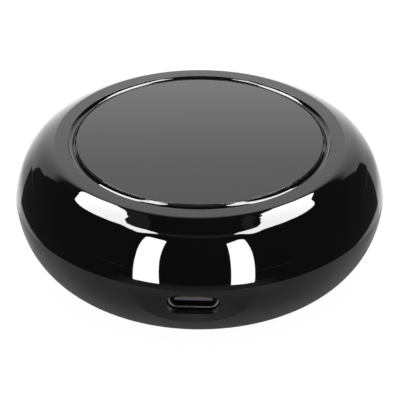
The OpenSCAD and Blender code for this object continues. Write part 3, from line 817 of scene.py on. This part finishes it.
@dataclass
class Surround:
    """Dark dome with a bright arch behind the object.

    The arch's light falls off from its middle and from a spot, dips above that, and ends at sides and a
    roof. Its ramps read angles off its middle, angles above the floor, or angles past its sides or roof.
    """

    radius: float = 2500.0
    segments: tuple[int, int] = (64, 32)
    level_by_off: Ramp = Ramp((10.0, 42.0), (1.66, 0.8))
    spot_light: float = 2.9
    spot_height: float = 7.0
    spot_width: Point = (17.0, 16.5)
    dip_by_height: Ramp = Ramp((27.7, 31.5), (0.0, 0.33))
    dip_by_off: Ramp = Ramp((10.0, 18.0), (1.0, 0.0))
    side_by_height: Ramp = Ramp((13.0, 19.0), (43.5, 49.0))
    side_edge: Ramp = Ramp((-0.5, 1.0), (1.0, 0.0), smooth=True)
    roof_by_off: Ramp = Ramp((6.0, 32.0), (57.0, 39.5))
    eaves_by_off: Ramp = Ramp((32.0, 50.0), (0.0, 7.5))
    roof_edge: Ramp = Ramp((-4.5, 4.0), (1.0, 0.0), smooth=True)

    def build(self) -> None:
        """Makes the dome."""
        made = mesh_object("surround", [], [], [])
        with editing(made) as shape:
            bmesh.ops.create_uvsphere(shape, u_segments=self.segments[0], v_segments=self.segments[1],
                                      radius=self.radius * MM)
        reflect_only(made, glowing("surround", self._light))

    def _light(self, graph: Graph) -> Socket:
        """Builds the radiance, arch and dark together."""
        unit = graph.add("ShaderNodeVectorMath", {0: graph.place()}, operation="NORMALIZE").outputs[0]
        x, y, z = graph.parts(unit)
        off = graph.off(x, y, ARCH_MIDDLE)
        height = graph.times(graph.math("ARCSINE", z), DEGREE)
        spot = graph.plus(self._squared(graph, off, self.spot_width[0]),
                          self._squared(graph, graph.minus(height, self.spot_height), self.spot_width[1]))
        spot = graph.math("EXPONENT", graph.times(spot, -1.0))
        level = graph.plus(graph.ramp(off, self.level_by_off), graph.times(spot, self.spot_light))
        dip = graph.times(graph.ramp(height, self.dip_by_height), graph.ramp(off, self.dip_by_off))
        past_side = graph.minus(off, graph.ramp(height, self.side_by_height))
        roof = graph.minus(graph.ramp(off, self.roof_by_off), graph.ramp(off, self.eaves_by_off))
        arch = graph.times(level, graph.minus(1.0, dip), graph.ramp(past_side, self.side_edge),
                           graph.ramp(graph.minus(height, roof), self.roof_edge))
        return graph.plus(arch, DARK)

    @staticmethod
    def _squared(graph: Graph, value: Socket, width: float) -> Socket:
        """Squares a value in widths."""
        return graph.math("POWER", graph.over(value, width), 2.0)


@dataclass
class FloorCard:
    """Dark card on the floor round the object, with a bright sector behind and paler ground beside it.

    Its ramps read distances from the axis in metres, angles off the sector's middle or turns from the front.
    """

    inner_r: float = 36.0
    outer_r: float = 1600.0
    height: float = 0.2
    steps: int = 96
    front_by_away: Ramp = Ramp((0.098, 0.13), (0.2, 0.0), smooth=True)
    front_by_turn: Ramp = Ramp((25.0, 44.0), (1.0, 0.0), smooth=True)
    beside_by_away: Ramp = Ramp((0.061, 0.064), (1.0, 0.0), smooth=True)
    beside_by_turn: Ramp = Ramp((8.0, 72.0), (0.05, 1.0), smooth=True)
    beside_foot: Ramp = Ramp((0.044, 0.058), (0.7, 1.0))
    rise_near: Ramp = Ramp((0.055, 0.13), (1.0, 2.35))
    rise_far: Ramp = Ramp((0.13, 0.5), (0.0, 1.2))
    limit_apex: float = 24.0
    limit_by_off: Ramp = Ramp((6.0, 24.0), (3.7, 1.6))
    limit_drop: Ramp = Ramp((28.0, 40.0), (0.0, 0.85))
    behind_by_away: Ramp = Ramp((0.058, 0.085), (1.5, 0.7))
    sector_apex: float = 44.0
    sector_middle: float = 1.05
    sector_edge: Ramp = Ramp((41.6, 43.0), (1.0, 0.0), smooth=True)

    def build(self) -> None:
        """Makes the card."""
        steps = self.steps
        turns = [FULL_TURN * i / steps for i in range(steps)]
        points = [(r * math.cos(t), r * math.sin(t), self.height)
                  for r in (self.inner_r, self.outer_r) for t in turns]
        faces = [(i, (i + 1) % steps, steps + (i + 1) % steps, steps + i) for i in range(steps)]
        made = mesh_object("floor_card", points, [], faces)
        reflect_only(made, glowing("floor_card", self._light))

    def _light(self, graph: Graph) -> Socket:
        """Builds the radiance: the sector behind, and the rest."""
        place = graph.place()
        x, y, _ = graph.parts(place)
        away = graph.add("ShaderNodeVectorMath", {0: place}, operation="LENGTH").outputs[1]
        turn = graph.bearing(graph.math("ABSOLUTE", x), graph.times(y, -1.0))
        front = graph.times(graph.ramp(away, self.front_by_away), graph.ramp(turn, self.front_by_turn))
        beside = graph.times(graph.ramp(away, self.beside_by_away), graph.ramp(turn, self.beside_by_turn),
                             graph.ramp(away, self.beside_foot))
        rest = graph.plus(graph.plus(front, beside), DARK)
        off = graph.off(x, y, ARCH_MIDDLE, self.limit_apex)
        rise = graph.plus(graph.ramp(away, self.rise_near), graph.ramp(away, self.rise_far))
        limit = graph.minus(graph.ramp(off, self.limit_by_off), graph.ramp(off, self.limit_drop))
        behind = graph.math("MINIMUM", rise, limit)
        behind = graph.math("MAXIMUM", behind, graph.ramp(away, self.behind_by_away))
        sector = graph.ramp(graph.off(x, y, self.sector_middle, self.sector_apex), self.sector_edge)
        return graph.plus(graph.times(behind, sector), graph.times(rest, graph.minus(1.0, sector)))


@dataclass(frozen=True)
class Strip:
    """An upright strip lamp that faces the object, as its foot and its outline, sideways and up."""

    name: str
    foot: Point
    outline: tuple[Corner, ...]


@dataclass(frozen=True)
class Panel:
    """A curved light panel far away, as heights of its edges at a few azimuths, all in degrees."""

    name: str
    azimuths: tuple[float, ...]
    top: tuple[float, ...]
    bottom: tuple[float, ...]

    def edge(self, heights: tuple[float, ...], azimuth: float) -> float:
        """Reads an edge on a smooth line through its points.

        Args:
            heights: The edge's heights at the panel's azimuths.
            azimuth: Where to read it.

        Returns:
            Its height there.
        """
        for i in range(len(self.azimuths) - 1):
            low, high = self.azimuths[i], self.azimuths[i + 1]
            if min(low, high) <= azimuth <= max(low, high):
                s = (azimuth - low) / (high - low)
                first, last = heights[i], heights[i + 1]
                slope_in = (last - heights[max(i - 1, 0)]) / 2
                slope_out = (heights[min(i + 2, len(heights) - 1)] - first) / 2
                return ((2 * s**3 - 3 * s**2 + 1) * first + (s**3 - 2 * s**2 + s) * slope_in
                        + (3 * s**2 - 2 * s**3) * last + (s**3 - s**2) * slope_out)
        return heights[-1]


@dataclass
class Lamps:
    """Two strip lamps with round tops on the floor in front, two long wings at the sides and dim panels."""

    strip_light: float = 25.0
    wing_light: float = 21.0
    wing_radius: float = 2000.0
    dim_light: float = 0.24
    dim_radius: float = 2100.0
    panel_steps: int = 96
    strips: tuple[Strip, ...] = (
        Strip("strip_lamp_left", (-45.0, -96.5), (
            Corner(-9.9, 1.6), Corner(-10.8, 40.0), Corner(-15.6, 116.0, 5.0), Corner(11.7, 107.0, 7.0),
            Corner(12.6, 40.0), Corner(14.4, 1.6))),
        Strip("strip_lamp_right", (42.0, -98.0), (
            Corner(0.0, 0.6), Corner(-11.7, 1.5), Corner(-9.2, 95.5, 4.0), Corner(13.6, 116.5, 5.0),
            Corner(11.9, 50.0), Corner(9.8, 0.5, 2.0), Corner(0.0, 0.6))),
    )
    wings: tuple[Panel, ...] = (
        Panel("wing_left",
              (-157, -150, -140, -130, -120, -110, -100, -90, -85, -80, -75, -70, -65, -60, -55, -50,
               -45, -40, -36),
              (53, 58.7, 62.8, 64.8, 66.2, 66.7, 65.6, 63.8, 62.6, 61.9, 60.2, 59.9, 59.8, 60, 60.6, 61.1,
               60.7, 60.4, 59),
              (51, 47.3, 47.3, 47.3, 45.5, 42.3, 43, 46.8, 49.2, 50.8, 52.7, 54, 54, 53.2, 53, 52.4,
               54.8, 57, 58.5)),
        Panel("wing_right",
              (162, 155, 150, 140, 130, 120, 110, 100, 90, 85, 80, 75, 70, 65, 60, 55, 50, 45, 40, 35),
              (55, 62, 64.5, 67, 69.5, 70, 70.3, 70, 69, 67.7, 67.2, 66, 65, 63.9, 63.5, 63.3, 63.2, 63,
               62.5, 61),
              (51.5, 47.5, 48.3, 50.7, 51.3, 49.5, 47.5, 48.2, 50.3, 52, 52.8, 54, 55, 55.6, 56, 55,
               54.3, 55, 58.9, 60)),
    )
    dim_panels: tuple[Panel, ...] = (
        Panel("dim_panel_left", (-157, -150, -140, -122, -100, -80, -65, -55),
              (63, 66, 69.5, 73.2, 74, 72.7, 69.5, 66), (50, 56, 60, 63, 62, 59, 58, 58)),
        Panel("dim_panel_right", (165, 155, 143, 120, 92, 80, 57),
              (62, 68, 73.3, 75.5, 76.5, 75, 70), (61, 65.3, 68.3, 72.8, 71.5, 70.3, 63.5)),
        Panel("dim_panel_front", (-40, -20, 0, 20, 36), (62, 64, 65, 64, 62), (58, 58, 58, 57.5, 57)),
    )

    def build(self) -> None:
        """Makes every lamp."""
        material = glowing("strip_lamp", self.strip_light)
        for strip in self.strips:
            foot = Vector((*strip.foot, 0.0))
            side = Vector((-foot.y, foot.x, 0.0)).normalized()
            outline = dict.fromkeys(rounded(strip.outline))
            outline = [foot + side * u + Vector((0.0, 0.0, v)) for u, v in outline]
            reflect_only(mesh_object(strip.name, outline, [], [tuple(range(len(outline)))]), material)
        self._panels(self.wings, glowing("wing_panel", self.wing_light), self.wing_radius)
        self._panels(self.dim_panels, glowing("dim_panel", self.dim_light), self.dim_radius)

    def _panels(self, panels: Iterable[Panel], material: Material, radius: float) -> None:
        """Makes curved panels.

        Args:
            panels: Their edges.
            material: What they glow with.
            radius: Their distance from the object.
        """
        for panel in panels:
            points, faces = [], []
            for k in range(self.panel_steps + 1):
                azimuth = panel.azimuths[0] + (panel.azimuths[-1] - panel.azimuths[0]) * k / self.panel_steps
                for heights in (panel.bottom, panel.top):
                    points.append(towards(azimuth, panel.edge(heights, azimuth)) * radius)
                if k:
                    faces.append((2 * k - 2, 2 * k - 1, 2 * k + 1, 2 * k))
            reflect_only(mesh_object(panel.name, points, [], faces), material)


@dataclass
class SubAssembly:
    """Part of the object: shapes of its own where it has any, and nodes that keep their CAD meshes."""

    nodes: tuple[str, ...] = ()

    def build(self, kit: Kit) -> None:
        """Makes the shapes and dresses the nodes."""
        self.shape(kit)
        kit.dress(*self.nodes)

    def shape(self, kit: Kit) -> None:
        """Makes nothing, where every piece keeps its CAD mesh."""


@dataclass
class GlossCover(SubAssembly):
    """Glossy upper shell: shoulder, rim, groove, pocket and three screw bosses."""

    seam_r: float = 34.5
    seam_z: float = 14.6
    wall: float = 2.2
    segments: int = 288
    shoulder_centre: Point = (25.978, 10.977)
    shoulder_axes: Point = (8.823, 14.0)
    shoulder_turn: Point = (84.0, 15.0)
    shoulder_steps: int = 110
    inside_steps: int = 24
    rim_r: float = 26.9
    rim_inner_r: float = 24.45
    rim_edge: float = 0.2
    rim_inner_edge: float = 0.05
    groove_middle_r: float = 23.81
    slopes: tuple[float, ...] = (-0.98, -0.82, 0.0, 0.79, 1.2)
    groove_steps: int = 8
    ridge_flank_w: float = 0.4
    rim_flank_w: float = 0.34
    ridge_r: float = 23.11
    ridge_edges: Point = (0.01, 0.015)
    pocket_r: float = 23.07
    pocket_z: float = 23.55
    pocket_edge: float = 0.08
    ceiling_z: float = 21.95
    rebate_r: float = 33.22
    rebate_z: float = 16.12
    rebate_edge: float = 0.1
    bosses: int = 3
    boss_r: float = 2.7
    boss_edge: float = 0.2
    boss_overlap: float = 0.2
    boss_ring: float = 18.4
    boss_start: float = 30.0
    boss_z: float = 8.62
    boss_segments: int = 48
    bore_r: float = 1.05
    bore_edge: float = 0.1
    bore_top: float = 15.2

    def profile(self) -> list[Corner]:
        """Profile from the middle of the pocket, over the outside, to the middle of the ceiling."""
        inner_axes = (self.shoulder_axes[0] - self.wall, self.shoulder_axes[1] - self.wall)
        inner_turn = [math.degrees(math.asin((z - self.shoulder_centre[1]) / inner_axes[1]))
                      for z in (self.rebate_z, self.ceiling_z)]
        outside = arc(self.shoulder_centre, self.shoulder_axes, *self.shoulder_turn, self.shoulder_steps)
        return [Corner(0.0, self.pocket_z),
                Corner(self.pocket_r, self.pocket_z, self.pocket_edge),
                Corner(self.pocket_r, TOP_Z, self.ridge_edges[0]),
                *self.groove(),
                Corner(self.rim_r, TOP_Z, self.rim_edge),
                *outside[1:],
                Corner(self.seam_r, self.seam_z),
                Corner(self.rebate_r, self.seam_z),
                Corner(self.rebate_r, self.rebate_z, self.rebate_edge),
                *arc(self.shoulder_centre, inner_axes, *inner_turn, self.inside_steps),
                Corner(0.0, self.ceiling_z)]

    def groove(self) -> list[Corner]:
        """Groove from the ridge to the rim, with slopes that change evenly between a few radii."""
        radii = (self.ridge_r, self.ridge_r + self.ridge_flank_w, self.groove_middle_r,
                 self.rim_inner_r - self.rim_flank_w, self.rim_inner_r)
        corners = [Corner(self.ridge_r, TOP_Z, self.ridge_edges[1])]
        for i in range(len(radii) - 1):
            width = radii[i + 1] - radii[i]
            for k in range(1, self.groove_steps + 1):
                middle = (k - 0.5) / self.groove_steps
                slope = self.slopes[i] + (self.slopes[i + 1] - self.slopes[i]) * middle
                height = corners[-1].z + slope * width / self.groove_steps
                corners.append(Corner(radii[i] + width * k / self.groove_steps, height))
        corners[-1] = Corner(corners[-1].r, corners[-1].z, self.rim_inner_edge)
        return corners

    def shape(self, kit: Kit) -> None:
        """Turns the shell and one boss, and repeats the boss."""
        shell = kit.turn("gloss_shell", self.profile(), "gloss_cover", self.segments)
        kit.ride(shell, "gloss_cover", "upper_cover")
        boss = [Corner(0.0, self.bore_top), Corner(self.bore_r, self.bore_top),
                Corner(self.bore_r, self.boss_z, self.bore_edge),
                Corner(self.boss_r, self.boss_z, self.boss_edge),
                Corner(self.boss_r, self.ceiling_z + self.boss_overlap)]
        made = kit.turn("screw_bosses", boss, "gloss_cover", self.boss_segments)
        kit.ring(made, "gloss_cover", self.bosses, self.boss_ring, self.boss_start)


@dataclass
class TopDisc(SubAssembly):
    """Flat gloss disc in the cover's pocket, on its film."""

    nodes: tuple[str, ...] = ("top_disc_adhesive",)
    radius: float = 22.85
    bottom_z: float = 23.7
    edge: float = 0.06
    bottom_edge: float = 0.1
    segments: int = 288

    def shape(self, kit: Kit) -> None:
        """Turns the disc."""
        profile = [Corner(0.0, self.bottom_z), Corner(self.radius, self.bottom_z, self.bottom_edge),
                   Corner(self.radius, TOP_Z, self.edge), Corner(0.0, TOP_Z)]
        kit.ride(kit.turn("flush_disc", profile, "top_disc", self.segments), "top_disc", "top_disc")


@dataclass
class LowerCase(SubAssembly):
    """Matte lower shell with its rubber foot and screws."""

    nodes: tuple[str, ...] = ("lower_case", "foot_adhesive", "case_screws")
    foot_outer_r: float = 21.4
    foot_inner_r: float = 15.4
    foot_h: float = 1.1
    foot_edge: float = 0.3
    glued_edge: float = 0.05
    segments: int = 144

    def shape(self, kit: Kit) -> None:
        """Turns the foot, with its lower edges more rounded than those at the film."""
        middle = (self.foot_outer_r + self.foot_inner_r) / 2
        profile = [Corner(middle, 0.0), Corner(self.foot_outer_r, 0.0, self.foot_edge),
                   Corner(self.foot_outer_r, self.foot_h, self.glued_edge),
                   Corner(self.foot_inner_r, self.foot_h, self.glued_edge),
                   Corner(self.foot_inner_r, 0.0, self.foot_edge), Corner(middle, 0.0)]
        kit.ride(kit.turn("rubber_foot", profile, "foot_rubber", self.segments), "foot_rubber", "foot_ring")


@dataclass
class PowerSocket(SubAssembly):
    """Socket in the slot: shell, tongue and contacts."""

    nodes: tuple[str, ...] = ("socket_shell", "socket_tongue", "socket_contacts")


@dataclass
class Emitters(SubAssembly):
    """Seven infrared emitters: six outwards and one upwards, each with a die cup inside its resin."""

    nodes: tuple[str, ...] = (
        "ir_emitter_1", "ir_emitter_2", "ir_emitter_3", "ir_emitter_4", "ir_emitter_5", "ir_emitter_6",
        "ir_emitter_7", "emitter_leads")
    count: int = 6
    axis_z: float = 17.65
    back_r: float = 20.35
    up_place: Triple = (0.0, -2.2, 12.9)
    cup_start: float = 2.0
    cup_h: float = 1.1
    cup_r: float = 0.85
    cup_wall: float = 0.15
    cup_floor_r: float = 0.35
    cup_depth: float = 0.5
    cup_back_edge: float = 0.1
    cup_edge: float = 0.05
    cup_segments: int = 24
    post_w: float = 0.45
    post_overlap: float = 0.2
    post_gap: float = 0.3
    lead_pitch: float = 2.54
    lead_ring_r: float = 19.8
    bead_r: float = 0.62
    bead_waist_r: float = 0.35
    bead_tip_r: float = 0.3
    bead_h: float = 0.7
    bead_hollow: float = 0.3
    bead_edge: float = 0.05
    bead_segments: int = 16

    def _cup(self, kit: Kit, name: str) -> Object:
        """Turns a die cup along +Z, with the post of each lead beside and under it."""
        top, edge = self.cup_start + self.cup_h, self.cup_edge
        bottom = top - self.cup_depth
        profile = [Corner(0.0, self.cup_start), Corner(self.cup_r, self.cup_start, self.cup_back_edge),
                   Corner(self.cup_r, top, edge), Corner(self.cup_r - self.cup_wall, top, edge),
                   Corner(self.cup_floor_r, bottom, edge), Corner(0.0, bottom)]
        cup = kit.turn(name, profile, "tinned_lead", self.cup_segments)
        half = self.lead_pitch / 2
        posts = ((self.post_w - half, self.cup_start + self.post_overlap), (half, top - self.post_gap))
        with editing(cup) as shape:
            for y, length in posts:
                middle = Vector((0.0, y, length / 2)) * MM
                size = Vector((self.post_w, self.post_w, length)) * MM
                bmesh.ops.create_cube(shape, size=1.0, matrix=Matrix.LocRotScale(middle, None, size))
        return cup

    def shape(self, kit: Kit) -> None:
        """Makes the cups, and the solder beads where the outward emitters' leads pass the board."""
        ring = self._cup(kit, "emitter_cups")
        outwards = Matrix.Rotation(math.pi / 2, 4, "Y")
        ring.data.transform(Matrix.Translation((0, 0, self.axis_z * MM)) @ outwards)
        kit.ring(ring, "tinned_lead", self.count, self.back_r)
        single = self._cup(kit, "up_emitter_cup")
        single.data.transform(Matrix.Translation([c * MM for c in self.up_place]))
        finish_faces(single)
        kit.ride(single, "tinned_lead")
        self._beads(kit)

    def _beads(self, kit: Kit) -> None:
        """Turns a solder bead, sets a twin beside it and repeats the pair."""
        tip = BOARD_Z - self.bead_h
        profile = [Corner(0.0, BOARD_Z), Corner(self.bead_r, BOARD_Z),
                   Corner(self.bead_waist_r, BOARD_Z - self.bead_h / 2, self.bead_hollow),
                   Corner(self.bead_tip_r, tip, self.bead_edge), Corner(0.0, tip)]
        bead = kit.turn("lead_beads", profile, "tinned_lead", self.bead_segments)
        pitch = Vector((0.0, self.lead_pitch * MM, 0.0))
        bead.data.transform(Matrix.Translation(pitch / 2))
        with editing(bead) as shape:
            twin = bmesh.ops.duplicate(shape, geom=[*shape.verts, *shape.edges, *shape.faces])["geom"]
            twin = [item for item in twin if isinstance(item, bmesh.types.BMVert)]
            bmesh.ops.translate(shape, vec=-pitch, verts=twin)
        kit.ring(bead, "tinned_lead", self.count, self.lead_ring_r)


@dataclass
class MainBoard(SubAssembly):
    """Round board with a row of plated holes along its edge, and the supply parts on it."""

    nodes: tuple[str, ...] = (
        "main_board", "bulk_capacitor", "bulk_capacitor_base", "voltage_regulator", "regulator_tab",
        "driver_transistors", "transistor_legs", "chip_resistors", "chip_capacitors", "chip_terminals")
    hole_ring_r: float = 28.4
    hole_r: float = 0.28
    holes: int = 48
    pad_r: float = 0.6
    pad_t: float = 0.035
    pad_edge: float = 0.01
    pad_segments: int = 16

    def shape(self, kit: Kit) -> None:
        """Turns a plated pad and repeats it."""
        low = BOARD_Z - self.pad_t
        profile = [Corner(self.hole_r, BOARD_Z), Corner(self.hole_r, low),
                   Corner(self.pad_r, low, self.pad_edge), Corner(self.pad_r, BOARD_Z),
                   Corner(self.hole_r, BOARD_Z)]
        pads = kit.turn("edge_pads", profile, "gold_contact", self.pad_segments)
        kit.ring(pads, "gold_contact", self.holes, self.hole_ring_r, 180.0 / self.holes)


@dataclass
class RadioModule(SubAssembly):
    """Radio board with its chip, shield and printed antenna."""

    nodes: tuple[str, ...] = ("radio_board", "radio_chip", "radio_shield", "radio_antenna")


@dataclass
class Sensors(SubAssembly):
    """Infrared receiver and status light."""

    nodes: tuple[str, ...] = ("ir_receiver", "receiver_leads", "status_led")


@dataclass
class ResetSwitch(SubAssembly):
    """Reset button and the push switch that it works, with a snap disc under the stem."""

    nodes: tuple[str, ...] = ("reset_button", "reset_switch_base", "reset_switch_stem", "reset_switch_frame",
                              "reset_switch_terminals")
    place_y: float = 9.0
    crown_z: float = 5.92
    bend_r: float = 2.852
    sheet_t: float = 0.1
    half_turn: float = 37.85
    bend_steps: int = 14
    segments: int = 64
    rim_z: float = 6.6
    pressed_share: float = 0.76

    def shape(self, kit: Kit) -> None:
        """Turns the snap disc."""
        centre = (0.0, self.crown_z + self.bend_r)
        inner_r = self.bend_r - self.sheet_t
        low, high = -90.0, -90.0 + self.half_turn
        profile = [*arc(centre, (self.bend_r, self.bend_r), low, high, self.bend_steps),
                   *arc(centre, (inner_r, inner_r), high, low, self.bend_steps)]
        disc = kit.turn("snap_disc", profile, "shield_steel", self.segments)
        disc.data.transform(Matrix.Translation((0.0, self.place_y * MM, 0.0)))
        kit.ride(disc, "shield_steel", "reset_switch_dome")
        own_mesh(disc)


def main() -> None:
    """Builds the studio and the object's sub-assemblies in order."""
    logging.basicConfig(level=logging.INFO, format="%(name)s: %(message)s")
    bpy.context.scene.view_settings.view_transform = "Standard"
    for item in (PhotoCamera(), Backdrop(), Surround(), FloorCard(), Lamps()):
        item.build()
    effects = SurfaceEffects()
    kit = Kit({finish.name: finish.build(effects) for finish in FINISHES}, ShapeTrees())
    for part in (GlossCover(), TopDisc(), LowerCase(), PowerSocket(), Emitters(), MainBoard(), RadioModule(),
                 Sensors(), ResetSwitch()):
        part.build(kit)


if __name__ == "__main__":
    main()
